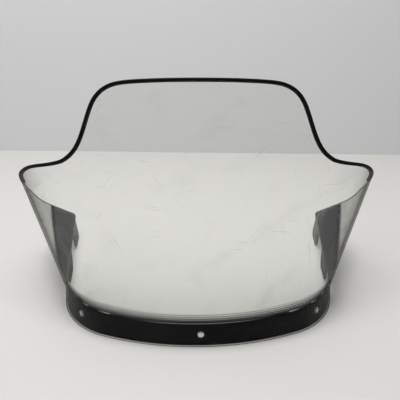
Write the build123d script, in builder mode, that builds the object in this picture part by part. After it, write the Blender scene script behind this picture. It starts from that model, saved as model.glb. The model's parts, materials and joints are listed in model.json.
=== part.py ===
"""Wrap-around windshield screen: formed clear sheet, printed border, edge trim and its adhesive.

Units are millimetres, +Z is up. The origin lies on the ground under the middle of the screen's
overall box. X runs across the screen and +Y runs back towards the rider.
"""

import os
from math import cos, pi, radians, sin

from build123d import *

os.makedirs("parts", exist_ok=True)

# Formed sheet
sheet_thickness = 3.0
slope_factor = 1.16  # level thickness of the raked screen over its true thickness
bend_height = 41.0  # height of the bend between the upright flange and the raked screen
bend_reach = 6.0  # height above and below the bend line over which the bend is rounded
blank_top = 420.0

# Plan shape: shallow front arc, tight corner arc, straight side, at the bend and higher up
front_position = -180.0  # Y of the bend line at the middle of the front
front_half_angle = radians(20.0)
side_flare = radians(9.3)
high_section = 400.0
front_radius_low = 458.0
front_radius_high = 822.0
corner_radius_low = 120.5
corner_radius_high = 337.0
front_setback_high = 206.0  # how far the raked front has moved back at the upper section
side_length_low = 243.0
side_length_high = 420.0
front_lean = 4.5  # how far the flange foot stands out from the bend at the front
side_lean = -5.0  # the same at the far end of the sides, where the foot tucks in

# Upper outline of the sheet: distance round the bend line and height, right half
outline_half = [
    (0, 376.5),
    (60, 373),
    (84, 366.5),
    (98, 354),
    (112, 327),
    (126, 292),
    (142, 265),
    (164, 247),
    (197, 231.5),
    (227, 211.5),
    (249, 193.5),
    (268, 174),
    (291, 153.5),
    (322, 134),
    (370, 112),
    (430, 87),
    (526, 47.5),
    (560, 34),
]
ribbon_steps = 160

# Flange, side tabs and rear corner, in side view
lower_edge_height = 38.0
flange_end = -52.0
front_tab_start = -22.0
rear_tab_start = 105.0
tab_width = 62.0
tab_foot_radius = 17.0
tab_root_radius = 6.0
rear_end = 186.0

# Mounting holes through the flange
hole_diameter = 9.5
side_hole_distance = 205.0
middle_hole_height = 21.0
side_hole_height = 24.0

# Printed border on the inner face
ink_thickness = 0.2
ink_margin = 1.6
print_half = [
    (0, 46),
    (150, 48),
    (215, 53),
    (262, 62),
    (300, 78),
    (340, 94),
    (400, 111),
    (560, 150),
]

# Edge trim, a U section pushed over the sheet edge and held by adhesive in its channel
trim_end_height = 178.0
trim_leg = 5.0
trim_wall = 1.3
trim_web = 1.5
trim_gap = 0.1
adhesive_depth = 0.7
adhesive_setback = 4.0

corner_angle = pi / 2 - side_flare - front_half_angle
front_length = front_radius_low * front_half_angle
corner_length = corner_radius_low * corner_angle


def mix(low, high, share):
    """Blend two tuples of numbers."""
    return tuple(a + (b - a) * share for a, b in zip(low, high))


# Plan values: front radius, corner radius, front Y, corner offset, side end offset, side length
low_radii = (front_radius_low, corner_radius_low, front_position)
high_radii = (front_radius_high, corner_radius_high, front_position + front_setback_high)
foot_plan = low_radii + (front_lean, side_lean, side_length_low)
bend_plan = low_radii + (0, 0, side_length_low)
high_plan = high_radii + (0, 0, side_length_high)


def plan_at(height):
    """Plan values of the middle surface at a height, rounded through the bend."""
    if height >= bend_height + bend_reach:
        return mix(bend_plan, high_plan, (height - bend_height) / (high_section - bend_height))
    if height <= bend_height - bend_reach:
        return mix(foot_plan, bend_plan, height / bend_height)
    share = (height - bend_height + bend_reach) / (2 * bend_reach)
    below = plan_at(bend_height - bend_reach)
    above = plan_at(bend_height + bend_reach)
    return mix(mix(below, bend_plan, share), mix(bend_plan, above, share), share)


def half_path(height, offset):
    """Right half of the plan curve: arc middles and joints, moved outwards by offset."""
    front_radius, corner_radius, front_y, corner_out, side_out, length = plan_at(height)
    front_radius += corner_out
    corner_radius += corner_out
    front_centre = Vector(0, front_y + front_radius - corner_out)
    turns = [
        (front_centre, front_radius, front_half_angle / 2),
        (front_centre, front_radius, front_half_angle),
    ]
    corner_centre = front_centre + Vector(sin(front_half_angle), -cos(front_half_angle)) * (
        front_radius - corner_radius
    )
    turns.append((corner_centre, corner_radius, front_half_angle + corner_angle / 2))
    turns.append((corner_centre, corner_radius, front_half_angle + corner_angle))
    points = [
        centre + Vector(sin(turn), -cos(turn)) * (radius + offset) for centre, radius, turn in turns
    ]
    outward = Vector(cos(side_flare), -sin(side_flare))
    rearward = Vector(sin(side_flare), cos(side_flare))
    points.append(points[3] + outward * (side_out - corner_out) + rearward * length)
    front = Vector(0, front_y - corner_out - offset)
    return [front] + points


def mirrored(point):
    return Vector(-point.X, point.Y)


def plan_sketch(height, inner, outer):
    """Closed U shape between two offsets of the plan curve."""
    with BuildSketch(Plane.XY.offset(height)) as section:
        with BuildLine():
            ends = []
            for offset in (inner, outer):
                front, front_middle, joint, corner_middle, side_start, side_end = half_path(
                    height, offset
                )
                ThreePointArc(mirrored(joint), front, joint)
                ThreePointArc(joint, corner_middle, side_start)
                ThreePointArc(mirrored(side_start), mirrored(corner_middle), mirrored(joint))
                Line(side_start, side_end)
                Line(mirrored(side_end), mirrored(side_start))
                ends.append(side_end)
            Line(ends[0], ends[1])
            Line(mirrored(ends[0]), mirrored(ends[1]))
        make_face()
    return section.sketch


def wrapped_layer(inner, outer):
    """Solid layer wrapped round the whole blank, between two true offsets of its middle."""
    lower = bend_height - bend_reach
    upper = bend_height + bend_reach
    levels = [lower, bend_height - 3, bend_height, bend_height + 3, upper]
    factors = [1, 1.04, 1.08, 1.12, slope_factor]
    bend = [plan_sketch(z, inner * k, outer * k) for z, k in zip(levels, factors)]
    foot = plan_sketch(0, inner, outer)
    top = plan_sketch(blank_top, inner * slope_factor, outer * slope_factor)
    with BuildPart() as layer:
        loft([foot, bend[0]], ruled=True)
        loft(bend)
        loft([bend[-1], top], ruled=True)
    return layer.part


def skin_point(distance, height):
    """Point on the middle surface of the raked screen, by distance round the bend line."""
    share = (height - bend_height) / (high_section - bend_height)
    front_radius, corner_radius, front_y = mix(low_radii, high_radii, share)
    run = abs(distance)
    front_turn = min(run / front_radius_low, front_half_angle)
    corner_turn = min(max(run - front_length, 0) / corner_radius_low, corner_angle)
    straight = max(run - front_length - corner_length, 0)
    heading = front_half_angle + corner_turn
    x = front_radius * sin(front_turn)
    x += corner_radius * (sin(heading) - sin(front_half_angle))
    x += straight * sin(side_flare)
    y = front_y + front_radius * (1 - cos(front_turn))
    y += corner_radius * (cos(front_half_angle) - cos(heading))
    y += straight * cos(side_flare)
    return Vector(x if distance >= 0 else -x, y, height)


def skin_normal(distance, height):
    """Unit normal of the raked screen, pointing forwards and outwards."""
    across = skin_point(distance + 0.1, height) - skin_point(distance - 0.1, height)
    rise = skin_point(distance, height + 1) - skin_point(distance, height)
    return across.cross(rise).normalized()


def edge_points(half, inset, lift):
    """Points along an outline on the screen, moved down the screen by inset and out by lift."""
    mirror_half = [(-along, height) for along, height in reversed(half[1:])]
    curve = Spline(*mirror_half, *half)
    points = []
    for step in range(ribbon_steps + 1):
        share = step / ribbon_steps
        here = curve @ share
        ahead = here + (curve % share) * 0.2
        normal = skin_normal(here.X, here.Y)
        place = skin_point(here.X, here.Y)
        tangent = skin_point(ahead.X, ahead.Y) - place
        down = tangent.cross(normal).normalized()
        points.append(place + down * inset + normal * lift)
    return points


def ribbon(half, inset=0):
    """Cutting ribbon that stands on the screen along an outline."""
    inner = Spline(*edge_points(half, inset, -12))
    outer = Spline(*edge_points(half, inset, 12))
    return Face.make_surface_from_curves(inner, outer)


def below(layer, half, inset=0):
    """The part of a layer that lies below an outline."""
    pieces = split(layer, bisect_by=ribbon(half, inset), keep=Keep.ALL).solids()
    return pieces.sort_by(lambda piece: piece.bounding_box().max.Z)[0]


def above(layer, half, inset=0):
    """The part of a layer that lies above an outline."""
    pieces = split(layer, bisect_by=ribbon(half, inset), keep=Keep.ALL).solids()
    return pieces.sort_by(lambda piece: piece.bounding_box().max.Z)[-1]


def hole_plane(distance, height):
    """Plane square to the flange at a distance round the bend line and a height."""
    turn = min(abs(distance) / front_radius_low, front_half_angle)
    turn += max(abs(distance) - front_length, 0) / corner_radius_low
    outward = Vector(sin(turn) if distance >= 0 else -sin(turn), -cos(turn))
    lean = front_lean / bend_height
    place = skin_point(distance, bend_height) + outward * (lean * (bend_height - height))
    place += Vector(0, 0, height - bend_height)
    return Plane(origin=place, z_dir=outward + Vector(0, 0, lean))


hole_planes = [
    hole_plane(-side_hole_distance, side_hole_height),
    hole_plane(0, middle_hole_height),
    hole_plane(side_hole_distance, side_hole_height),
]
with BuildPart() as hole_cutters:
    for plane in hole_planes:
        with BuildSketch(plane):
            Circle(hole_diameter / 2)
        extrude(amount=12, both=True)

# Side view of what is cut away under the sides, leaving two rounded tabs on each
corner_min = (Align.MIN, Align.MIN)
tab_starts = (front_tab_start, rear_tab_start)
with BuildSketch(Plane.YZ) as side_gaps:
    with Locations((flange_end - 40, -10)):
        Rectangle(rear_end - flange_end + 90, 10, align=corner_min)
    with Locations((flange_end, 0)):
        Rectangle(rear_end - flange_end + 50, lower_edge_height, align=corner_min)
    with Locations((rear_end, 0)):
        Rectangle(50, 100, align=corner_min)
    for tab_start in tab_starts:
        with Locations((tab_start, 0)):
            Rectangle(tab_width, lower_edge_height, align=corner_min, mode=Mode.SUBTRACT)
    roots = side_gaps.vertices().filter_by_position(Axis.Y, lower_edge_height, lower_edge_height)
    fillet(roots, tab_root_radius)
    feet = side_gaps.vertices().filter_by_position(Axis.Y, 0, 0)
    fillet(feet.sort_by(Axis.X)[1:], tab_foot_radius)

# Clear sheet
half_sheet = sheet_thickness / 2
sheet_blank = below(wrapped_layer(-half_sheet, half_sheet), outline_half)
with BuildPart() as screen_sheet:
    add(sheet_blank)
    extrude(side_gaps.sketch, amount=450, both=True, mode=Mode.SUBTRACT)
    add(hole_cutters.part, mode=Mode.SUBTRACT)
screen_sheet.part.label = "screen_sheet"
export_step(screen_sheet.part, "parts/screen_sheet.step")

# Printed border, a thin ink layer on the inner face
inked = below(wrapped_layer(-half_sheet - ink_thickness, -half_sheet), outline_half, 1)
inked = below(inked, print_half)
with BuildSketch(Plane.YZ) as clear_margins:
    with Locations((-300, -10)):
        Rectangle(600, 10 + ink_margin, align=corner_min)
    with Locations((flange_end - ink_margin, 0)):
        Rectangle(300, lower_edge_height + ink_margin, align=corner_min)
    with Locations((rear_end - 3, 0)):
        Rectangle(100, 100, align=corner_min)
with BuildPart() as printed_border:
    add(inked)
    extrude(clear_margins.sketch, amount=450, both=True, mode=Mode.SUBTRACT)
    add(hole_cutters.part, mode=Mode.SUBTRACT)
printed_border.part.label = "printed_border"
export_step(printed_border.part, "parts/printed_border.step")


def strip(layer, inset, outset, end_height):
    """Strip of a layer along the upper outline, ending low on both sides."""
    band = above(below(layer, outline_half, -outset), outline_half, inset)
    return split(band, bisect_by=Plane.XY.offset(end_height), keep=Keep.TOP)


# Edge trim, a U section over the upper edge
trim_half = half_sheet + trim_gap + trim_wall
channel_half = half_sheet + trim_gap
trim_layer = wrapped_layer(-trim_half, trim_half)
trim_outer = strip(trim_layer, trim_leg, adhesive_depth + trim_web, trim_end_height)
channel = below(wrapped_layer(-channel_half, channel_half), outline_half, -adhesive_depth)
with BuildPart() as edge_trim:
    add(trim_outer)
    add(channel, mode=Mode.SUBTRACT)
edge_trim.part.label = "edge_trim"
export_step(edge_trim.part, "parts/edge_trim.step")

# Adhesive bead between the sheet edge and the web of the trim
bead_layer = wrapped_layer(-half_sheet, half_sheet)
bead = strip(bead_layer, 0, adhesive_depth, trim_end_height + adhesive_setback)
with BuildPart() as trim_adhesive:
    add(bead)
trim_adhesive.part.label = "trim_adhesive"
export_step(trim_adhesive.part, "parts/trim_adhesive.step")
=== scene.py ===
# %% [markdown]
# # A clear wrap-around windshield screen
# The real object is one clear sheet, cut flat, printed along its foot and then bent hot over a
# form. Afterwards a black trim is pushed over its top edge. This script makes it the same way:
# each piece is drawn flat, and one Geometry Nodes group then wraps it onto the formed skin.
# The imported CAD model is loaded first, because every piece has to sit where the CAD says.

import json
from math import atan2, cos, pi, radians, sin, sqrt

import bmesh
import bpy
import numpy as np
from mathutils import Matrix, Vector


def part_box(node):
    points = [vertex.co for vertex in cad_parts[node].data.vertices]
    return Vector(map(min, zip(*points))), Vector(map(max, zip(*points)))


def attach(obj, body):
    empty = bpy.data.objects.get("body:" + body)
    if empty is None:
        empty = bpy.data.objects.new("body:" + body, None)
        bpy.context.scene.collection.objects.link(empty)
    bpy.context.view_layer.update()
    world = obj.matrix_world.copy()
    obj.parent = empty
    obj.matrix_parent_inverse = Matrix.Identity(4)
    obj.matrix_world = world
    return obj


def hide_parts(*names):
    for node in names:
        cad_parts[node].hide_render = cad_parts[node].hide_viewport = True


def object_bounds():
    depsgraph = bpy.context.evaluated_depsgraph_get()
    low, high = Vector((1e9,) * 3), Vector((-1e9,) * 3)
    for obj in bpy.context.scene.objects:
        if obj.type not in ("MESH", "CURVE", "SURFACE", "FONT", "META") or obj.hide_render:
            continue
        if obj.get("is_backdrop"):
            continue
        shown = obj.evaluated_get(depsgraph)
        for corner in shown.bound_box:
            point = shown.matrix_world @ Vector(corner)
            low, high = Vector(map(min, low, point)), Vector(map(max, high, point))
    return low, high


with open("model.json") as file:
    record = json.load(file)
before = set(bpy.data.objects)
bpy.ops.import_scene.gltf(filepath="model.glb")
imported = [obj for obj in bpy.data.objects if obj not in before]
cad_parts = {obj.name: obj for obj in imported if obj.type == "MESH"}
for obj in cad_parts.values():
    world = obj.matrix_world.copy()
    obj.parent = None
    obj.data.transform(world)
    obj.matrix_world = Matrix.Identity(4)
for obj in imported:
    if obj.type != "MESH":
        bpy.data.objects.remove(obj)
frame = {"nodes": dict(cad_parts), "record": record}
cad_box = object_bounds()
mounts = {mount["name"]: mount for mount in frame["record"]["mounts"]}
print("CAD nodes:", sorted(frame["nodes"]))

# %% [markdown]
# ## Sizes
# Lengths are in metres, in the same frame as the CAD: X across the screen, +Y back towards the
# rider, +Z up. A place on the skin is given by two numbers: the distance round the bend line
# from the middle of the front, and the height above the ground. These few sizes drive the lot.

# %% Sizes of the formed skin
mm = 0.001
SKIN = {
    "Bend height": 41 * mm,
    "Bend reach": 6 * mm,
    "High section": 400 * mm,
    "Front Y": -180 * mm,
    "Front angle": radians(20.0),
    "Side flare": radians(9.3),
    "Front radius low": 458 * mm,
    "Front radius high": 822 * mm,
    "Corner radius low": 120.5 * mm,
    "Corner radius high": 337 * mm,
    "Front setback": 206 * mm,
    "Side length": 243 * mm,
    "Front lean": 4.5 * mm,
    "Side lean": -5 * mm,
}
sheet_thickness = 3 * mm
corner_angle = pi / 2 - SKIN["Side flare"] - SKIN["Front angle"]
front_length = SKIN["Front radius low"] * SKIN["Front angle"]
side_start = front_length + SKIN["Corner radius low"] * corner_angle
print(f"the straight sides start {side_start * 1000:.1f} mm round the bend line")

# %% Upper outline and print boundary: distance and height in millimetres, right half
outline_half = [
    (0, 376.5),
    (60, 373),
    (84, 366.5),
    (98, 354),
    (112, 327),
    (126, 292),
    (142, 265),
    (164, 247),
    (197, 231.5),
    (227, 211.5),
    (249, 193.5),
    (268, 174),
    (291, 153.5),
    (322, 134),
    (370, 112),
    (430, 87),
    (526, 47.5),
    (560, 34),
]
print_half = [
    (0, 46),
    (150, 48),
    (215, 53),
    (262, 62),
    (300, 78),
    (340, 94),
    (400, 111),
    (560, 150),
]
print("outline points:", len(outline_half), "print edge points:", len(print_half))

# %% [markdown]
# ## The camera
# It stands in front of the screen, a little above its top, and looks down into it, as a person
# at a bench would. It is made before the pieces.

# %% Camera
camera_data = bpy.data.cameras.new("bench_camera")
camera_data.sensor_width = 36
look_down, roll, turn = radians(25.66), radians(-0.35), radians(-1.57)
camera_data.lens = 40.36
camera = bpy.data.objects.new("bench_camera", camera_data)
camera.location = (-0.0192, -0.7209, 0.5137)
camera.rotation_euler = (pi / 2 - look_down, roll, turn)
bpy.context.scene.collection.objects.link(camera)
bpy.context.scene.camera = camera
bpy.context.scene.view_settings.view_transform = "Standard"
print("camera at", tuple(camera.location))

# %% [markdown]
# ## Formulas as nodes
# Node trees hold the skin's formula and the patterns in the materials. Wiring Math nodes by hand
# is long and hard to read, so a small class stands for a number on a wire: plain Python
# arithmetic on it adds the Math node that does the same.


# %% A number on a wire
class Wire:
    """A value that runs along a link in a node tree."""

    def __init__(self, tree, socket):
        self.tree = tree
        self.socket = socket

    def math(self, operation, *others):
        node = self.tree.nodes.new("ShaderNodeMath")
        node.operation = operation
        for slot, value in zip(node.inputs, (self, *others)):
            plug(self.tree, value, slot)
        return Wire(self.tree, node.outputs[0])

    def __add__(self, other):
        return self.math("ADD", other)

    def __sub__(self, other):
        return self.math("SUBTRACT", other)

    def __mul__(self, other):
        return self.math("MULTIPLY", other)

    def __truediv__(self, other):
        return self.math("DIVIDE", other)

    def __pow__(self, other):
        return self.math("POWER", other)

    def minus_from(self, start):
        """start minus this value."""
        return self * -1 + start

    def between(self, low, high):
        """This value, held between two limits."""
        return self.math("MAXIMUM", low).math("MINIMUM", high)


def plug(tree, value, slot):
    """Feed a socket from a wire, a socket or a plain value."""
    if isinstance(value, Wire):
        value = value.socket
    if isinstance(value, bpy.types.NodeSocket):
        tree.links.new(value, slot)
    else:
        slot.default_value = value


def add_node(tree, kind, settings=None, **values):
    """Add a node, set its options and feed its named inputs."""
    node = tree.nodes.new(kind)
    for option, value in (settings or {}).items():
        setattr(node, option, value)
    for name, value in values.items():
        plug(tree, value, node.inputs[name.replace("_", " ")])
    return node


def split_vector(tree, vector):
    """The three parts of a vector, as wires."""
    node = add_node(tree, "ShaderNodeSeparateXYZ")
    plug(tree, vector, node.inputs[0])
    return [Wire(tree, part) for part in node.outputs]


def joined(tree, x, y, z):
    """A vector made of three values."""
    return add_node(tree, "ShaderNodeCombineXYZ", X=x, Y=y, Z=z).outputs[0]


print("math nodes can be written as arithmetic")


# %% [markdown]
# ## The skin, as one node group
# The formed sheet is a shallow arc across the front, a tighter arc round each corner and a
# straight side. All three change evenly with height, so the skin is made of straight lines, and
# a flat sheet can be bent onto it. Below the bend the foot stands nearly upright. The group
# turns a distance, a height and an offset from the middle of the sheet into a point and the
# direction that the sheet faces. Every piece uses it, so they all fit each other.


# %% Skin group: set-up
def new_geometry_tree(name, inputs, outputs):
    """Empty Geometry Nodes tree with named inputs, as (tree, input node, output node)."""
    tree = bpy.data.node_groups.new(name, "GeometryNodeTree")
    for title, kind, value in inputs:
        socket = tree.interface.new_socket(title, in_out="INPUT", socket_type="NodeSocket" + kind)
        if value is not None:
            socket.default_value = value
    for title, kind in outputs:
        tree.interface.new_socket(title, in_out="OUTPUT", socket_type="NodeSocket" + kind)
    return tree, tree.nodes.new("NodeGroupInput"), tree.nodes.new("NodeGroupOutput")


skin_inputs = [("Distance", "Float", 0.0), ("Height", "Float", 0.0), ("Offset", "Float", 0.0)]
skin_inputs += [(title, "Float", value) for title, value in SKIN.items()]
skin_group, skin_in, skin_out = new_geometry_tree(
    "point on the skin", skin_inputs, [("Position", "Vector"), ("Normal", "Vector")]
)
size = {title: Wire(skin_group, skin_in.outputs[title]) for title, _, _ in skin_inputs}
print("inputs of the skin group:", len(skin_inputs))

# %% Skin group: where a distance lies along the front, the corner and the side
run = size["Distance"].math("ABSOLUTE")
hand = size["Distance"].math("SIGN")
front_angle = size["Front angle"]
corner_turn_full = (size["Side flare"] + front_angle).minus_from(pi / 2)
front_run = size["Front radius low"] * front_angle
front_turn = (run / size["Front radius low"]).math("MINIMUM", front_angle)
corner_turn = ((run - front_run) / size["Corner radius low"]).between(0, corner_turn_full)
straight = (run - front_run - size["Corner radius low"] * corner_turn_full).math("MAXIMUM", 0)
heading = front_angle + corner_turn
facing = front_turn + corner_turn
print("three stretches: front arc, corner arc, straight side")

# %% Skin group: place on the bend line, and how it moves with height
corner_x = heading.math("SINE") - front_angle.math("SINE")
corner_y = front_angle.math("COSINE") - heading.math("COSINE")
front_x = front_turn.math("SINE")
front_y = front_turn.math("COSINE").minus_from(1)
side_x = straight * size["Side flare"].math("SINE")
side_y = straight * size["Side flare"].math("COSINE")
bend_x = size["Front radius low"] * front_x + size["Corner radius low"] * corner_x + side_x
bend_y = size["Front radius low"] * front_y + size["Corner radius low"] * corner_y + side_y
rise = size["High section"] - size["Bend height"]
front_growth = (size["Front radius high"] - size["Front radius low"]) / rise
corner_growth = (size["Corner radius high"] - size["Corner radius low"]) / rise
up_x = front_growth * front_x + corner_growth * corner_x
up_y = size["Front setback"] / rise + front_growth * front_y + corner_growth * corner_y

# The foot leans out at the front and tucks in towards the rear of the sides
lean_share = straight / size["Side length"]
lean = size["Front lean"] + (size["Side lean"] - size["Front lean"]) * lean_share
down_x = facing.math("SINE") * lean / size["Bend height"]
down_y = facing.math("COSINE") * lean / size["Bend height"] * -1
print("the bend line, and the slopes above and below it, are wired")

# %% Skin group: rounded bend, offset and outputs
reach = size["Bend reach"]
above_bend = size["Height"] - size["Bend height"]
share = ((above_bend + reach) / (reach * 2)).between(0, 1)
unshare = share.minus_from(1)
up = share * share * reach + (above_bend - reach).math("MAXIMUM", 0)
down = unshare * unshare * reach + (above_bend * -1 - reach).math("MAXIMUM", 0)
out_x = facing.math("SINE")
out_y = facing.math("COSINE") * -1
tilt = (out_x * up_x + out_y * up_y) * share - (out_x * down_x + out_y * down_y) * unshare
length = (tilt * tilt + 1).math("SQRT")
normal_x = out_x / length
normal_y = out_y / length
normal_z = tilt / length * -1
offset = size["Offset"]
place_x = bend_x + up_x * up + down_x * down + normal_x * offset
place_y = size["Front Y"] + bend_y + up_y * up + down_y * down + normal_y * offset
place_z = size["Height"] + normal_z * offset
plug(skin_group, joined(skin_group, place_x * hand, place_y, place_z), skin_out.inputs["Position"])
plug(skin_group, joined(skin_group, normal_x * hand, normal_y, normal_z), skin_out.inputs["Normal"])
print("nodes in the skin group:", len(skin_group.nodes))


# %% [markdown]
# ## Drawing the flat sheet
# The flat blank has a swept upper edge, a straight foot, two rounded tabs on each side and three
# holes. An outline is drawn as a few corners with radii, plus one smooth curve through the edge
# points. The face inside it is then cut into a grid of small cells, because a sheet can only
# bend where it has edges to bend at.


# %% Smooth curves and rounded corners
def smooth_through(points, count):
    """Points along a cubic spline through the given ones, in metres."""
    points = np.array(points, float) * mm
    steps = np.hypot(*np.diff(points, axis=0).T)
    knots = np.concatenate([[0], np.cumsum(steps)])
    size_of = len(points)
    system = np.eye(size_of)
    bends = np.zeros((size_of, 2))
    for k in range(1, size_of - 1):
        system[k, k - 1 : k + 2] = steps[k - 1], 2 * (steps[k - 1] + steps[k]), steps[k]
        ahead = (points[k + 1] - points[k]) / steps[k]
        bends[k] = 6 * (ahead - (points[k] - points[k - 1]) / steps[k - 1])
    bends = np.linalg.solve(system, bends)
    at = np.linspace(0, knots[-1], count)
    k = np.clip(np.searchsorted(knots, at) - 1, 0, size_of - 2)
    h = steps[k][:, None]
    after = (at - knots[k])[:, None]
    before = h - after
    cubic = (bends[k] * before**3 + bends[k + 1] * after**3) / (6 * h)
    cubic += (points[k] / h - bends[k] * h / 6) * before
    return cubic + (points[k + 1] / h - bends[k + 1] * h / 6) * after


def both_halves(half):
    """The whole outline from its right half."""
    return [(-along, height) for along, height in reversed(half[1:])] + half


def rounded(corners, steps=8):
    """Outline through (distance, height, radius) corners, each rounded to its radius."""
    points = [corners[0][:2]]
    for (x0, z0, _), (x1, z1, radius), (x2, z2, _) in zip(corners, corners[1:], corners[2:]):
        back = Vector((x0 - x1, z0 - z1)).normalized()
        on = Vector((x2 - x1, z2 - z1)).normalized()
        half_angle = back.angle(on) / 2
        if radius == 0 or half_angle > radians(88):
            points.append((x1, z1))
            continue
        corner = Vector((x1, z1))
        centre = corner + (back + on).normalized() * (radius / sin(half_angle))
        first = corner + back * (radius / np.tan(half_angle)) - centre
        last = corner + on * (radius / np.tan(half_angle)) - centre
        for step in range(steps + 1):
            blend = first.lerp(last, step / steps).normalized() * radius
            points.append(tuple(centre + blend))
    return points + [corners[-1][:2]]


outline = smooth_through(both_halves(outline_half), 900)
print_edge = smooth_through(both_halves(print_half), 600)


def height_on(curve, distance):
    """Height of a curve at a distance round the bend line."""
    return float(np.interp(distance, curve[:, 0], curve[:, 1]))


print(f"top of the middle {height_on(outline, 0):.4f} m, print edge {height_on(print_edge, 0):.4f} m")


# %% Flat faces cut into a grid
def flat_mesh(name, loops, pitch, extra_heights=()):
    """Flat mesh inside closed loops, in the X-Z plane, facing -Y, cut into a grid.

    The cells are one pitch wide and two high, and there are extra cuts at extra_heights.
    """
    bm = bmesh.new()
    for loop in loops:
        ring = [bm.verts.new((x, 0, z)) for x, z in loop]
        for start, end in zip(ring, ring[1:] + ring[:1]):
            bm.edges.new((start, end))
    bmesh.ops.triangle_fill(bm, use_beauty=True, edges=bm.edges[:], normal=(0, -1, 0))
    xs = [v.co.x for v in bm.verts]
    zs = [v.co.z for v in bm.verts]
    across = np.arange(np.ceil(min(xs) / pitch), np.floor(max(xs) / pitch) + 1) * pitch
    upwards = np.arange(np.ceil(min(zs) / pitch), np.floor(max(zs) / pitch) + 1, 2) * pitch
    cuts = [(Vector((x, 0, 0)), Vector((1, 0, 0))) for x in across]
    cuts += [(Vector((0, 0, z)), Vector((0, 0, 1))) for z in [*upwards, *extra_heights]]
    for place, direction in cuts:
        whole = bm.verts[:] + bm.edges[:] + bm.faces[:]
        bmesh.ops.bisect_plane(bm, geom=whole, dist=1e-6, plane_co=place, plane_no=direction)
    slanted = [edge for edge in bm.edges if edge.is_manifold and min_span(edge) > 1e-5]
    bmesh.ops.dissolve_edges(bm, edges=slanted, use_verts=False)
    spare = [v for v in bm.verts if len(v.link_edges) == 2 and not v.is_boundary]
    bmesh.ops.dissolve_verts(bm, verts=spare)
    if sum(face.normal.y * face.calc_area() for face in bm.faces) > 0:
        bmesh.ops.reverse_faces(bm, faces=bm.faces[:])
    mesh = bpy.data.meshes.new(name)
    bm.to_mesh(mesh)
    bm.free()
    return mesh


def min_span(edge):
    """How far an edge is from running straight across or straight up."""
    run_along = edge.verts[1].co - edge.verts[0].co
    return min(abs(run_along.x), abs(run_along.z))


def circle_loop(distance, height, radius, count=28):
    """Closed ring of points round a hole."""
    turns = [2 * pi * k / count for k in range(count)]
    return [(distance + radius * cos(t), height + radius * sin(t)) for t in turns]


print("flat drawing tools ready")

# %% [markdown]
# ## The outline of the blank
# The cut-outs under the sides are square to the ground, so their places along the side come from
# the side's own slant. The hole places and their size come from the record's mounts.

# %% Blank outline with tabs and holes
foot_edge = 38 * mm
side_slope = cos(SKIN["Side flare"])
side_start_y = SKIN["Front Y"] + SKIN["Front radius low"] * (1 - cos(SKIN["Front angle"]))
side_start_y += SKIN["Corner radius low"] * (cos(SKIN["Front angle"]) - sin(SKIN["Side flare"]))
rear_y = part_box("screen_sheet")[1].y


def along_side(y):
    """Distance round the bend line to a point of the straight side."""
    return side_start + (y - side_start_y) / side_slope


flange_end = along_side(-52 * mm)
tab_width = 62 * mm
tab_starts = (-22 * mm, 105 * mm)
tab_ends = [(along_side(start), along_side(start + tab_width)) for start in tab_starts]
tab_foot_radius = 17 * mm
tab_root_radius = 6 * mm
rear_low = along_side(rear_y)
rear_high = rear_low - 5.5 * mm
rear_corner_radius = 2 * mm
corners = [(0, 0, 0), (flange_end, 0, tab_foot_radius), (flange_end, foot_edge, tab_root_radius)]
for start, end in tab_ends:
    corners += [(start, foot_edge, tab_root_radius), (start, 0, tab_foot_radius)]
    corners += [(end, 0, tab_foot_radius), (end, foot_edge, tab_root_radius)]
corners += [(rear_low + 2 * mm, foot_edge, rear_corner_radius)]
corners += [(rear_high, height_on(outline, rear_high), rear_corner_radius)]
top_right = [tuple(p) for p in outline[::-1] if 0 <= p[0] < rear_high - 6 * mm]
corners += [(*top_right[0], 0)]
lower_right = rounded(corners)
right_side = lower_right + top_right[1:]
blank_loop = right_side + [(-x, z) for x, z in reversed(right_side) if x > 1e-9]


def hole_place(name):
    """Distance round the bend line and height of a mounting hole."""
    x, y, z = mounts[name]["pos_m"]
    arc_y = SKIN["Front Y"] + SKIN["Front radius low"]
    turn = atan2(abs(x), arc_y - y)
    if turn <= SKIN["Front angle"]:
        return (SKIN["Front radius low"] * turn, z)
    centre_out = SKIN["Front radius low"] - SKIN["Corner radius low"]
    centre_x = centre_out * sin(SKIN["Front angle"])
    centre_y = arc_y - centre_out * cos(SKIN["Front angle"])
    bend_turn = atan2(abs(x) - centre_x, centre_y - y) - SKIN["Front angle"]
    distance = front_length + SKIN["Corner radius low"] * bend_turn
    return (distance if x > 0 else -distance, z)


hole_names = ["hole_left", "hole_middle", "hole_right"]
hole_radius = mounts["hole_middle"]["dims"]["r_mm"] * mm
hole_places = [hole_place(name) for name in hole_names]
hole_loops = [circle_loop(x, z, hole_radius) for x, z in hole_places]
print("holes at", [(round(x, 4), round(z, 4)) for x, z in hole_places])

# %% [markdown]
# ## Forming a flat piece
# One tree forms every flat piece: the sheet and the printed ink on it. It gives the flat face its
# thickness first, while that is a plain extrusion, and only then wraps each point onto the skin.
# The flat position is kept as an attribute called "flat", so that scratches and print can later
# follow the sheet round its corners, as they do on a real one.

# %% Tree that forms a flat piece
form_tree, form_in, form_out = new_geometry_tree(
    "form a flat piece",
    [
        ("Flat piece", "Geometry", None),
        ("Thickness", "Float", 3 * mm),
        ("Middle offset", "Float", 0.0),
        ("Outer material", "Material", None),
        ("Inner material", "Material", None),
        ("Edge material", "Material", None),
    ],
    [("Formed piece", "Geometry")],
)


def skin_node(tree, distance, height, offset):
    """The skin group inside another tree."""
    node = add_node(tree, "GeometryNodeGroup", {"node_tree": skin_group})
    for title, value in (("Distance", distance), ("Height", height), ("Offset", offset)):
        plug(tree, value, node.inputs[title])
    return node


def store(tree, geometry, name, value):
    """Keep a vector field on the points of a geometry."""
    options = {"data_type": "FLOAT_VECTOR", "domain": "POINT"}
    node = add_node(tree, "GeometryNodeStoreNamedAttribute", options, Geometry=geometry, Name=name)
    plug(tree, value, node.inputs["Value"])
    return node.outputs[0]


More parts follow.
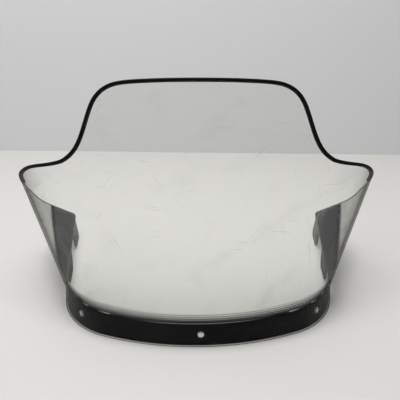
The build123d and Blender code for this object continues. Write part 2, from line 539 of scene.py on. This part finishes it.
thickness = Wire(form_tree, form_in.outputs["Thickness"])
here = add_node(form_tree, "GeometryNodeInputPosition").outputs[0]
kept = store(form_tree, form_in.outputs["Flat piece"], "flat", here)
inner_y = thickness / 2 - form_in.outputs["Middle offset"]
to_inner = joined(form_tree, 0, inner_y, 0)
inner = add_node(form_tree, "GeometryNodeSetPosition", Geometry=kept, Offset=to_inner).outputs[0]
outwards = joined(form_tree, 0, thickness * -1, 0)
grown = add_node(form_tree, "GeometryNodeExtrudeMesh", Mesh=inner, Offset=outwards, Individual=False)
turned = add_node(form_tree, "GeometryNodeFlipFaces", Mesh=inner).outputs[0]
paint_inner = add_node(form_tree, "GeometryNodeSetMaterial", Geometry=turned)
paint_outer = add_node(form_tree, "GeometryNodeSetMaterial", Geometry=grown.outputs["Mesh"])
paint_rim = add_node(
    form_tree,
    "GeometryNodeSetMaterial",
    Geometry=paint_outer.outputs[0],
    Selection=grown.outputs["Side"],
)
for painter, title in ((paint_inner, "Inner"), (paint_outer, "Outer"), (paint_rim, "Edge")):
    plug(form_tree, form_in.outputs[title + " material"], painter.inputs["Material"])
both = add_node(form_tree, "GeometryNodeJoinGeometry")
for part in (paint_inner, paint_rim):
    form_tree.links.new(part.outputs[0], both.inputs[0])
closed = add_node(
    form_tree, "GeometryNodeMergeByDistance", Geometry=both.outputs[0], Distance=0.001 * mm
)
flat_x, flat_y, flat_z = split_vector(form_tree, here)
bent = skin_node(form_tree, flat_x, flat_z, flat_y * -1)
formed = add_node(
    form_tree,
    "GeometryNodeSetPosition",
    Geometry=closed.outputs[0],
    Position=bent.outputs["Position"],
)
smooth = add_node(form_tree, "GeometryNodeSetShadeSmooth", Geometry=formed.outputs[0])
form_tree.links.new(smooth.outputs[0], form_out.inputs[0])
print("forming tree nodes:", len(form_tree.nodes))


# %% Running a tree and keeping its result
def made_by(tree, name, mesh, **values):
    """Run a tree on a mesh and return a plain object with the result."""
    piece = bpy.data.objects.new(name, mesh)
    bpy.context.scene.collection.objects.link(piece)
    modifier = piece.modifiers.new(tree.name, "NODES")
    modifier.node_group = tree
    for item in tree.interface.items_tree:
        key = item.name.replace(" ", "_").lower()
        if item.in_out == "INPUT" and key in values:
            modifier[item.identifier] = values[key]
    evaluated = piece.evaluated_get(bpy.context.evaluated_depsgraph_get())
    result = bpy.data.meshes.new_from_object(evaluated)
    piece.modifiers.remove(modifier)
    piece.data = result
    bpy.data.meshes.remove(mesh)
    print(f"{name}: {len(result.vertices)} points, {len(result.polygons)} faces")
    return piece


# %% [markdown]
# ## Finishes
# Four things meet the eye: clear polycarbonate, its cut edge, black ink and black vinyl. Each is a
# node material, and none is one flat colour. Real clear sheet is never quite clean: it carries
# fine scratches and wiped smears. It also darkens towards edge-on views, where a dark dull tone
# grows, and it mirrors more at a glancing angle, with a dim grey mirror that paints darker
# reflections.
# The ink is made twice. On the inside it is bare and a little glossy. From the outside it lies
# under the sheet, which already has the gloss, so the ink below has almost none of its own.


# %% Starting a material
def new_finish(name):
    """Empty material with its output node, as (material, tree, output)."""
    finish = bpy.data.materials.new(name)
    finish.use_nodes = True
    finish.node_tree.nodes.clear()
    return finish, finish.node_tree, finish.node_tree.nodes.new("ShaderNodeOutputMaterial")


def flat_place(tree):
    """Where a point lies on the flat sheet, in metres."""
    return add_node(tree, "ShaderNodeAttribute", {"attribute_name": "flat"}).outputs["Vector"]


def turned_pattern(tree, place, turn, stretch):
    """A pattern space turned about the sheet's face, then stretched along and across."""
    turned = add_node(
        tree, "ShaderNodeVectorRotate", {"rotation_type": "Y_AXIS"}, Vector=place, Angle=turn
    )
    node = add_node(tree, "ShaderNodeMapping", Vector=turned.outputs[0])
    node.inputs["Scale"].default_value = stretch
    return node.outputs[0]


def noise(tree, place, scale, detail=3.0, roughness=0.55):
    """Smooth noise, as a wire from 0 to 1."""
    node = add_node(tree, "ShaderNodeTexNoise", Vector=place, Scale=scale)
    node.inputs["Detail"].default_value = detail
    node.inputs["Roughness"].default_value = roughness
    return Wire(tree, node.outputs[0])


def eased(wire, low, high):
    """0 below low, 1 above high, smooth between."""
    node = add_node(wire.tree, "ShaderNodeMapRange", {"interpolation_type": "SMOOTHSTEP"})
    for slot, value in (("Value", wire), ("From Min", low), ("From Max", high)):
        plug(wire.tree, value, node.inputs[slot])
    return Wire(wire.tree, node.outputs[0])


def scratches(tree, place, turn, fineness, length_scale, amount, rarity=0.69):
    """Fine straight scratches in one direction, in patches, fewer with more rarity."""
    streaks = noise(tree, turned_pattern(tree, place, turn, (fineness, 1, length_scale)), 1.0, 1.0)
    patches = noise(tree, turned_pattern(tree, place, turn, (9, 9, 5)), 1.0, 2.0)
    return eased(streaks, rarity, rarity + 0.07) * eased(patches, 0.48, 0.66) * amount


def glancing(tree):
    """0 where a surface is seen head on, 1 where it is seen edge on."""
    node = add_node(tree, "ShaderNodeLayerWeight", Blend=0.5)
    return Wire(tree, node.outputs["Facing"])


print("finish helpers ready")

# %% Clear polycarbonate
clear, tree, output = new_finish("clear_polycarbonate")
place = flat_place(tree)
scuffs = scratches(tree, place, radians(24), 900, 14, 0.55)
scuffs = scuffs + scratches(tree, place, radians(-38), 1100, 22, 0.45)
scuffs = scuffs + scratches(tree, place, radians(81), 800, 18, 0.35)
smears = eased(noise(tree, turned_pattern(tree, place, 0.5, (14, 9, 26)), 1.0, 4.0), 0.5, 0.8)
glance = glancing(tree)
# The sheet darkens towards edge-on views: a dark dull tone is mixed in, a little stronger in the
# smears, with a weight that grows as one over facing squared.
dark_tone_on_clean_sheet, dark_tone_in_smears = 0.011, 0.055
facing_us = glance * -1 + 1.09  # never quite zero, so that it can divide
smear_and_edge_on_darkening = (smears * dark_tone_in_smears + dark_tone_on_clean_sheet) / facing_us**2
passing = add_node(tree, "ShaderNodeBsdfTransparent", Color=(0.985, 0.988, 0.98, 1))
# The mirror is a dim grey, not white: painted darker reflections, strongest edge on, where the sheet
# is mostly mirror.
dim_painted_mirror = add_node(tree, "ShaderNodeBsdfGlossy", Color=(0.16, 0.16, 0.155, 1), Roughness=0.16)
dark_tone_shader = add_node(tree, "ShaderNodeBsdfDiffuse", Color=(0.125, 0.115, 0.095, 1))
white = add_node(tree, "ShaderNodeBsdfDiffuse", Color=(0.5, 0.5, 0.48, 1))
mirror_head_on, mirror_edge_on, mirror_steepness = 0.012, 0.98, 3.6
mirrored = glance**mirror_steepness * mirror_edge_on + mirror_head_on
glossed = add_node(tree, "ShaderNodeMixShader", Fac=mirrored)
tree.links.new(passing.outputs[0], glossed.inputs[1])
tree.links.new(dim_painted_mirror.outputs[0], glossed.inputs[2])
darkened = add_node(tree, "ShaderNodeMixShader", Fac=smear_and_edge_on_darkening.between(0, 0.6))
tree.links.new(glossed.outputs[0], darkened.inputs[1])
tree.links.new(dark_tone_shader.outputs[0], darkened.inputs[2])
scuffed = add_node(tree, "ShaderNodeMixShader", Fac=scuffs.between(0, 0.5))
tree.links.new(darkened.outputs[0], scuffed.inputs[1])
tree.links.new(white.outputs[0], scuffed.inputs[2])
tree.links.new(scuffed.outputs[0], output.inputs["Surface"])
ripple = add_node(
    tree,
    "ShaderNodeBump",
    Height=noise(tree, place, 18, 1.0),
    Strength=0.25,
    Distance=0.6 * mm,
)
tree.links.new(ripple.outputs[0], dim_painted_mirror.inputs["Normal"])
print("clear sheet nodes:", len(tree.nodes))

# %% Cut edge of the sheet
edge, tree, output = new_finish("cut_edge")
place = flat_place(tree)
saw_marks = noise(tree, turned_pattern(tree, place, 0, (900, 60, 900)), 1.0, 2.0)
edge_body = add_node(tree, "ShaderNodeBsdfPrincipled", Roughness=0.28)
edge_tone_painted_dark = add_node(tree, "ShaderNodeMix", {"data_type": "RGBA"})
plug(tree, saw_marks, edge_tone_painted_dark.inputs[0])
# The edge's dark grey is painted shade. It stands in for the dark line that refraction shows along a
# clear sheet's cut edge, and the saw marks vary it.
edge_tone_painted_dark.inputs[6].default_value = (0.03, 0.032, 0.03, 1)
edge_tone_painted_dark.inputs[7].default_value = (0.2, 0.21, 0.2, 1)
tree.links.new(edge_tone_painted_dark.outputs[2], edge_body.inputs["Base Color"])
edge_clear = add_node(tree, "ShaderNodeBsdfTransparent", Color=(0.9, 0.92, 0.91, 1))
edge_mix = add_node(tree, "ShaderNodeMixShader", Fac=0.65)
tree.links.new(edge_clear.outputs[0], edge_mix.inputs[1])
tree.links.new(edge_body.outputs[0], edge_mix.inputs[2])
tree.links.new(edge_mix.outputs[0], output.inputs["Surface"])
print("cut edge nodes:", len(tree.nodes))



# %% Black ink, bare and under the sheet
def black_ink(name, shine, roughness, pale):
    """Screen-printed ink, slightly cloudy, with scratches as strong as pale says."""
    finish, tree, output = new_finish(name)
    place = flat_place(tree)
    worn = scratches(tree, place, radians(-38), 420, 34, pale, 0.53)
    cloud = noise(tree, turned_pattern(tree, place, 0.3, (30, 30, 60)), 1.0, 3.0)
    body = add_node(tree, "ShaderNodeBsdfPrincipled", Roughness=cloud * 0.16 + roughness)
    body.inputs["Specular IOR Level"].default_value = shine
    tone = add_node(tree, "ShaderNodeMix", {"data_type": "RGBA"})
    plug(tree, (worn + cloud * 0.015).between(0, 1), tone.inputs[0])
    tone.inputs[6].default_value = (0.001, 0.0015, 0.004, 1)
    tone.inputs[7].default_value = (0.32, 0.33, 0.34, 1)
    tree.links.new(tone.outputs[2], body.inputs["Base Color"])
    tree.links.new(body.outputs[0], output.inputs["Surface"])
    return finish


ink = black_ink("bare_ink", 0.5, 0.34, 0.8)
covered_ink = black_ink("covered_ink", 0.02, 0.3, 0.06)
print("inks:", ink.name, covered_ink.name)


# %% Black vinyl and its adhesive
def black_plastic(name, base, worn_colour, roughness, shine, grain_size):
    """Soft black plastic with a fine grain and paler scuffed patches."""
    finish, tree, output = new_finish(name)
    place = add_node(tree, "ShaderNodeTexCoord").outputs["Object"]
    grain = noise(tree, place, 1 / grain_size, 4.0)
    patches = eased(noise(tree, place, 45, 3.0), 0.5, 0.75)
    body = add_node(tree, "ShaderNodeBsdfPrincipled", Roughness=patches * 0.16 + roughness)
    body.inputs["Specular IOR Level"].default_value = shine
    scuffed = add_node(tree, "ShaderNodeMix", {"data_type": "RGBA"})
    plug(tree, patches * 0.5 + grain * 0.2, scuffed.inputs[0])
    scuffed.inputs[6].default_value = (*base, 1)
    scuffed.inputs[7].default_value = (*worn_colour, 1)
    tree.links.new(scuffed.outputs[2], body.inputs["Base Color"])
    bump = add_node(tree, "ShaderNodeBump", Height=grain, Strength=0.3, Distance=0.15 * mm)
    tree.links.new(bump.outputs[0], body.inputs["Normal"])
    tree.links.new(body.outputs[0], output.inputs["Surface"])
    return finish


vinyl = black_plastic(
    "black_vinyl", (0.002, 0.002, 0.002), (0.009, 0.009, 0.009), 0.4, 0.06, 1.2 * mm
)
glue = black_plastic("butyl_glue", (0.014, 0.013, 0.012), (0.03, 0.03, 0.03), 0.55, 0.4, 2 * mm)
print("finishes:", [finish.name for finish in (clear, edge, ink, covered_ink, vinyl, glue)])

# %% [markdown]
# ## The clear sheet
# It is one piece on the real screen, and it stands for the CAD's sheet. The bend needs closer
# cuts than the rest, so extra heights are cut there. A small bevel rounds its sawn edges.


# %% Formed sheet
def softened(piece, width, segments=2):
    """Round a piece's sharp edges a little and keep its broad faces smooth."""
    bevel = piece.modifiers.new("soft edges", "BEVEL")
    bevel.width = width
    bevel.segments = segments
    bevel.limit_method = "ANGLE"
    bevel.angle_limit = radians(50)
    evaluated = piece.evaluated_get(bpy.context.evaluated_depsgraph_get())
    result = bpy.data.meshes.new_from_object(evaluated)
    piece.modifiers.remove(bevel)
    piece.data = result
    result.set_sharp_from_angle(angle=radians(40))


def settle(piece, slot, *nodes):
    """Ride on the one body and stand for CAD nodes; the slot is not used."""
    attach(piece, "root")
    if nodes:
        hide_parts(*nodes)


bend_cuts = [SKIN["Bend height"] + k * SKIN["Bend reach"] / 3 for k in range(-3, 4)]
cell = 5 * mm
blank = flat_mesh("flat_sheet", [blank_loop] + hole_loops, cell, bend_cuts)
formed_sheet = made_by(
    form_tree,
    "formed_sheet",
    blank,
    thickness=sheet_thickness,
    outer_material=clear,
    inner_material=clear,
    edge_material=edge,
)
softened(formed_sheet, 0.4 * mm)
settle(formed_sheet, "clear_sheet", "screen_sheet")

# %% [markdown]
# ## The printed border
# The border is ink on the inner face. It is solid along the flange and fades out upwards through
# dots that shrink row by row. The solid part is one more flat piece, formed like the sheet. A
# narrow clear margin is left all round, because ink printed to a cut edge would chip.

# %% Solid ink
ink_thickness = 0.15 * mm
ink_gap = 0.06 * mm
ink_middle = -(sheet_thickness / 2 + ink_gap + ink_thickness / 2)
ink_margin = 1.0 * mm
fade_below = 6 * mm
fade_above = 8.5 * mm
edge_inset = 2 * mm


def ink_top(distance):
    """Upper limit of the solid ink."""
    print_limit = height_on(print_edge, distance) - fade_below
    return min(print_limit, height_on(outline, distance) - edge_inset)


ink_end = rear_low - 5 * mm
ink_corners = [(0, ink_margin, 0), (flange_end - ink_margin, ink_margin, tab_foot_radius)]
ink_corners += [(flange_end - ink_margin, foot_edge + ink_margin, tab_root_radius / 2)]
ink_corners += [(ink_end, foot_edge + ink_margin, 0)]
ink_right = rounded(ink_corners)
ink_right += [(x, ink_top(x)) for x in np.linspace(ink_end - 2 * mm, 0, 190)]
ink_loop = ink_right + [(-x, z) for x, z in reversed(ink_right) if x > 1e-9]
ink_hole_radius = hole_radius + 0.4 * mm
ink_holes = [circle_loop(x, z, ink_hole_radius) for x, z in hole_places]
solid_border = made_by(
    form_tree,
    "solid_border",
    flat_mesh("flat_ink", [ink_loop] + ink_holes, cell, bend_cuts),
    thickness=ink_thickness,
    middle_offset=ink_middle,
    outer_material=covered_ink,
    inner_material=ink,
    edge_material=ink,
)
settle(solid_border, "border_ink", "printed_border")

# %% [markdown]
# ## The dots
# Dots that repeat over a surface are work for Geometry Nodes. A thin flat band marks where the
# fade is, and carries a shade from 1 at the solid ink to 0 where it ends. The tree lays a
# staggered grid over it, looks up the shade behind each grid point, drops the points that miss,
# and prints a disc on the skin whose size follows the shade.


# %% Band that carries the shade
def fade_band(step):
    """Flat strip between the solid ink and the end of the fade, with a shade on its points."""
    columns = np.arange(-ink_end, ink_end, step)
    places, shades, faces = [], [], []
    for x in columns:
        limit = height_on(print_edge, x) - fade_below
        low = ink_top(x)
        high = min(limit + fade_below + fade_above, height_on(outline, x) - edge_inset)
        fade = fade_below + fade_above
        places += [(x, 0, low), (x, 0, max(high, low))]
        shades += [1 - (low - limit) / fade, 1 - (max(high, low) - limit) / fade]
    for k in range(0, len(places) - 2, 2):
        faces.append((k, k + 2, k + 3, k + 1))
    band = bpy.data.meshes.new("fade_band")
    band.from_pydata(places, [], faces)
    band.attributes.new("shade", "FLOAT", "POINT").data.foreach_set("value", shades)
    return band


print("fade runs over", round((fade_below + fade_above) * 1000, 1), "mm")

# %% Tree that prints the dots
dot_tree, dot_in, dot_out = new_geometry_tree(
    "print the dots",
    [
        ("Fade band", "Geometry", None),
        ("Dot pitch", "Float", 3.0 * mm),
        ("Smallest dot", "Float", 0.12),
        ("Largest dot", "Float", 0.6),
        ("Ink thickness", "Float", 0.15 * mm),
        ("Ink middle", "Float", 0.0),
        ("Columns", "Int", 420),
        ("Rows", "Int", 60),
        ("Lowest row", "Float", 34 * mm),
        ("Material", "Material", None),
    ],
    [("Dots", "Geometry")],
)
pitch = Wire(dot_tree, dot_in.outputs["Dot pitch"])
columns = Wire(dot_tree, dot_in.outputs["Columns"])
rows = Wire(dot_tree, dot_in.outputs["Rows"])
grid = add_node(
    dot_tree,
    "GeometryNodeMeshGrid",
    Size_X=columns - 1,
    Size_Y=rows - 1,
    Vertices_X=columns,
    Vertices_Y=rows,
)
here = add_node(dot_tree, "GeometryNodeInputPosition").outputs[0]
column_at, row_at, _ = split_vector(dot_tree, here)
row_number = (row_at + (rows - 1) / 2).math("ROUND")
stagger = row_number.math("FLOORED_MODULO", 2) * 0.5 - 0.25
dot_x = (column_at + stagger) * pitch
dot_z = row_number * pitch * (sqrt(3) / 2) + dot_in.outputs["Lowest row"]
spread = add_node(
    dot_tree,
    "GeometryNodeSetPosition",
    Geometry=grid.outputs["Mesh"],
    Position=joined(dot_tree, dot_x, -0.01, dot_z),
)
shade_read = add_node(dot_tree, "GeometryNodeInputNamedAttribute", Name="shade")
look = add_node(
    dot_tree,
    "GeometryNodeRaycast",
    Target_Geometry=dot_in.outputs["Fade band"],
    Attribute=shade_read.outputs[0],
    Ray_Direction=(0, 1, 0),
    Ray_Length=1.0,
)
missed = add_node(dot_tree, "FunctionNodeBooleanMath", {"operation": "NOT"})
plug(dot_tree, look.outputs["Is Hit"], missed.inputs[0])
strength = Wire(dot_tree, look.outputs["Attribute"]).math("SQRT")
low_dot = Wire(dot_tree, dot_in.outputs["Smallest dot"])
dot_radius = ((strength * -1 + 1) * low_dot + strength * dot_in.outputs["Largest dot"]) * pitch
held = store(dot_tree, spread.outputs[0], "dot radius", joined(dot_tree, dot_radius, 0, 0))
kept = add_node(dot_tree, "GeometryNodeDeleteGeometry", Geometry=held, Selection=missed.outputs[0])
flat_x, _, flat_z = split_vector(dot_tree, here)
on_skin = skin_node(dot_tree, flat_x, flat_z, dot_in.outputs["Ink middle"])
faced = store(dot_tree, kept.outputs[0], "facing", on_skin.outputs["Normal"])
flat_kept = store(dot_tree, faced, "flat", here)
moved = add_node(
    dot_tree, "GeometryNodeSetPosition", Geometry=flat_kept, Position=on_skin.outputs["Position"]
)
disc = add_node(dot_tree, "GeometryNodeMeshCylinder", Vertices=10, Radius=1.0, Depth=1.0)
read_facing = add_node(
    dot_tree, "GeometryNodeInputNamedAttribute", {"data_type": "FLOAT_VECTOR"}, Name="facing"
)
aim = add_node(
    dot_tree, "FunctionNodeAlignRotationToVector", {"axis": "Z"}, Vector=read_facing.outputs[0]
)
read_radius = add_node(
    dot_tree, "GeometryNodeInputNamedAttribute", {"data_type": "FLOAT_VECTOR"}, Name="dot radius"
)
radius_wire = split_vector(dot_tree, read_radius.outputs[0])[0]
dot_scale = joined(dot_tree, radius_wire, radius_wire, dot_in.outputs["Ink thickness"])
placed = add_node(
    dot_tree,
    "GeometryNodeInstanceOnPoints",
    Points=moved.outputs[0],
    Instance=disc.outputs["Mesh"],
    Rotation=aim.outputs[0],
    Scale=dot_scale,
)
real = add_node(dot_tree, "GeometryNodeRealizeInstances", Geometry=placed.outputs[0])
inked = add_node(
    dot_tree,
    "GeometryNodeSetMaterial",
    Geometry=real.outputs[0],
    Material=dot_in.outputs["Material"],
)
dot_tree.links.new(inked.outputs[0], dot_out.inputs[0])
print("dot tree nodes:", len(dot_tree.nodes))

# %% Halftone dots
halftone_dots = made_by(
    dot_tree,
    "halftone_dots",
    fade_band(4 * mm),
    ink_thickness=ink_thickness,
    ink_middle=ink_middle,
    material=covered_ink,
)
settle(halftone_dots, "border_ink", "printed_border")

# %% [markdown]
# ## The edge trim
# The trim is one extruded section that follows the sheet's edge, so it is a sweep. The tree wraps
# the edge line onto the skin, tells the curve which way the sheet faces, and sweeps a U-shaped
# section along it. The legs then straddle the sheet all the way round.

# %% Section of the trim
trim_wall = 1.3 * mm
trim_leg = 5 * mm
trim_web_top = 2.2 * mm
channel_half = sheet_thickness / 2 + 0.1 * mm
trim_half = channel_half + trim_wall
glue_depth = 0.7 * mm


def trim_section():
    """Closed U section: X away from the sheet's edge, Y across the sheet."""
    shoulder = -0.4 * mm
    rise_of_top = trim_web_top - shoulder
    top = [(shoulder + rise_of_top * sin(t), trim_half * cos(t)) for t in np.linspace(0, pi, 13)]
    lip = 0.45 * mm
    left = [(-trim_leg + lip, -trim_half), (-trim_leg, -trim_half + lip), (-trim_leg, -channel_half)]
    inside = [(glue_depth, -channel_half), (glue_depth, channel_half)]
    right = [(-trim_leg, channel_half), (-trim_leg, trim_half - lip), (-trim_leg + lip, trim_half)]
    points = top + left + inside + right
    curve = bpy.data.curves.new("trim_section", "CURVE")
    line = curve.splines.new("POLY")
    line.points.add(len(points) - 1)
    line.points.foreach_set("co", [value for x, y in points for value in (x, y, 0, 1)])
    line.use_cyclic_u = True
    return bpy.data.objects.new("trim_section", curve)


section = trim_section()
print("trim is", round(2 * trim_half * 1000, 1), "mm wide over its legs")

# %% Tree that sweeps the trim
trim_tree, trim_in, trim_out = new_geometry_tree(
    "sweep the trim",
    [
        ("Edge line", "Geometry", None),
        ("Section", "Object", None),
        ("Material", "Material", None),
    ],
    [("Trim", "Geometry")],
)
here = add_node(trim_tree, "GeometryNodeInputPosition").outputs[0]
flat_x, _, flat_z = split_vector(trim_tree, here)
on_edge = skin_node(trim_tree, flat_x, flat_z, 0.0)
with_facing = store(trim_tree, trim_in.outputs["Edge line"], "facing", on_edge.outputs["Normal"])
wrapped = add_node(
    trim_tree, "GeometryNodeSetPosition", Geometry=with_facing, Position=on_edge.outputs["Position"]
)
as_curve = add_node(trim_tree, "GeometryNodeMeshToCurve", Mesh=wrapped.outputs[0])
read_facing = add_node(
    trim_tree, "GeometryNodeInputNamedAttribute", {"data_type": "FLOAT_VECTOR"}, Name="facing"
)
steered = add_node(
    trim_tree,
    "GeometryNodeSetCurveNormal",
    {"mode": "FREE"},
    Curve=as_curve.outputs[0],
    Normal=read_facing.outputs[0],
)
section_read = add_node(trim_tree, "GeometryNodeObjectInfo", Object=trim_in.outputs["Section"])
swept = add_node(
    trim_tree,
    "GeometryNodeCurveToMesh",
    Curve=steered.outputs[0],
    Profile_Curve=section_read.outputs["Geometry"],
    Fill_Caps=True,
)
finished = add_node(
    trim_tree,
    "GeometryNodeSetMaterial",
    Geometry=swept.outputs[0],
    Material=trim_in.outputs["Material"],
)
smooth = add_node(trim_tree, "GeometryNodeSetShadeSmooth", Geometry=finished.outputs[0])
trim_tree.links.new(smooth.outputs[0], trim_out.inputs[0])
print("trim tree nodes:", len(trim_tree.nodes))

# %% Trim
trim_end_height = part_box("edge_trim")[0].z
trim_end_inset = 2 * mm
trimmed = [(x, 0, z) for x, z in outline if z >= trim_end_height + trim_end_inset]
edge_line = bpy.data.meshes.new("edge_line")
edge_line.from_pydata(trimmed, [(k, k + 1) for k in range(len(trimmed) - 1)], [])
trim_profile = made_by(trim_tree, "trim_profile", edge_line, section=section, material=vinyl)
trim_profile.data.set_sharp_from_angle(angle=radians(42))
bpy.data.objects.remove(section)
settle(trim_profile, "trim_vinyl", "edge_trim")

# %% Adhesive in the trim
adhesive = frame["nodes"]["trim_adhesive"]
adhesive.data.materials.clear()
adhesive.data.materials.append(glue)
print("the CAD's adhesive bead keeps its shape and takes", glue.name)

# %% [markdown]
# ## Floor, wall and light
# The set is a plain pale bench top, with a pale wall behind it that shows only from its front, so
# that it never hides the screen in other views. The light is one large soft panel above and a
# weaker one from the side, and a plain grey world for the rest of the room.


# %% Floor and wall
def plain_surface(name, corners, colour, roughness):
    """Flat plain surface of the set."""
    mesh = bpy.data.meshes.new(name)
    mesh.from_pydata(corners, [], [tuple(range(len(corners)))])
    surface = bpy.data.objects.new(name, mesh)
    bpy.context.scene.collection.objects.link(surface)
    finish, tree, output = new_finish(name)
    body = add_node(tree, "ShaderNodeBsdfPrincipled", Roughness=roughness)
    body.inputs["Base Color"].default_value = (*colour, 1)
    hidden = add_node(tree, "ShaderNodeBsdfTransparent")
    side = add_node(tree, "ShaderNodeNewGeometry")
    shown = add_node(tree, "ShaderNodeMixShader", Fac=side.outputs["Backfacing"])
    tree.links.new(body.outputs[0], shown.inputs[1])
    tree.links.new(hidden.outputs[0], shown.inputs[2])
    tree.links.new(shown.outputs[0], output.inputs["Surface"])
    mesh.materials.append(finish)
    surface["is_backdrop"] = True


floor_size = 6
wall_y = 0.72
wall_slant = 0.26
wall_height = 3
plain_surface(
    "bench_top",
    [
        (-floor_size, -floor_size, 0),
        (floor_size, -floor_size, 0),
        (floor_size, floor_size, 0),
        (-floor_size, floor_size, 0),
    ],
    (0.57, 0.56, 0.545),
    0.6,
)
plain_surface(
    "wall",
    [
        (-floor_size, wall_y + wall_slant, 0),
        (floor_size, wall_y - wall_slant, 0),
        (floor_size, wall_y - wall_slant, wall_height),
        (-floor_size, wall_y + wall_slant, wall_height),
    ],
    (0.67, 0.68, 0.685),
    0.9,
)
print("floor and wall are plain and pale")


# %% Lights
def soft_panel(name, place, aim, width, power):
    """Square soft light at a place, aimed at a point."""
    data = bpy.data.lights.new(name, "AREA")
    data.size = width
    data.energy = power
    lamp = bpy.data.objects.new(name, data)
    lamp.location = place
    lamp.rotation_euler = (Vector(aim) - Vector(place)).to_track_quat("-Z", "Y").to_euler()
    bpy.context.scene.collection.objects.link(lamp)


soft_panel("ceiling_panel", place=(-0.15, 0.1, 2.0), aim=(0, 0, 0.1), width=1.3, power=37)
soft_panel("side_panel", place=(-2.2, -0.6, 1.4), aim=(0, 0, 0.2), width=1.4, power=10)
world = bpy.data.worlds.new("room")
world.use_nodes = True
backdrop = world.node_tree.nodes["Background"]
backdrop.inputs["Color"].default_value = (0.81, 0.81, 0.8, 1)
backdrop.inputs["Strength"].default_value = 0.5
bpy.context.scene.world = world

# %% [markdown]
# ## Checks and the end
# The visual model must stay inside the CAD's box, so the gaps between the two boxes' corners are
# printed.

# %% Sizes and finish
visual_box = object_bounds()
for corner_cad, corner_visual in zip(cad_box, visual_box):
    gaps = [round(value * 1000, 1) for value in corner_visual - corner_cad]
    print(gaps, "mm from the CAD's corner")
